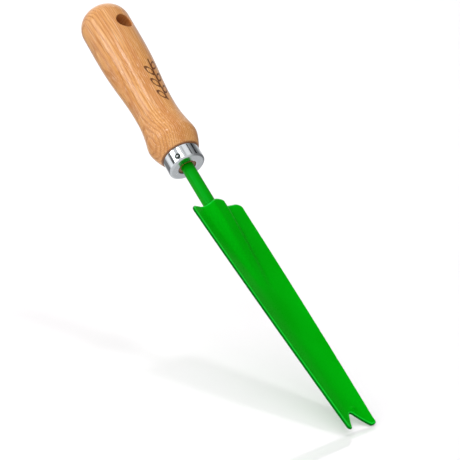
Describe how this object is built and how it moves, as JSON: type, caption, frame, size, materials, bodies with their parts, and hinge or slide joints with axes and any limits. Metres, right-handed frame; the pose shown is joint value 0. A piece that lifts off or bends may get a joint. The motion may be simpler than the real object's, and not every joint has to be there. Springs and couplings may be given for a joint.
{
  "type": "hand weeder",
  "caption": "Hand weeder: a turned grip with a ferrule and a cranked, hollow sheet blade ending in blunt prongs with a V notch that grips a root.",
  "frame": {"origin": "centre of the hanging hole, on the grip's axis", "axes": "+Z along the grip towards its butt, so the tool hangs blade down; -Y is the front, which the hollow face of the blade looks towards; +X completes the right-handed frame"},
  "size_m": [0.0422, 0.0353, 0.352],
  "materials": {
    "grip_wood": "turned hardwood under clear lacquer",
    "ferrule_chrome": "bright chrome plate",
    "pin_steel": "plain bright steel",
    "green_paint": "semi-gloss green enamel"
  },
  "bodies": {
    "root": {"handle": "grip_wood", "ferrule": "ferrule_chrome", "ferrule_pin": "pin_steel", "shank": "green_paint", "blade": "green_paint", "weld_left": "green_paint", "weld_right": "green_paint", "weld_hood": "green_paint"}
  },
  "joints": []
}
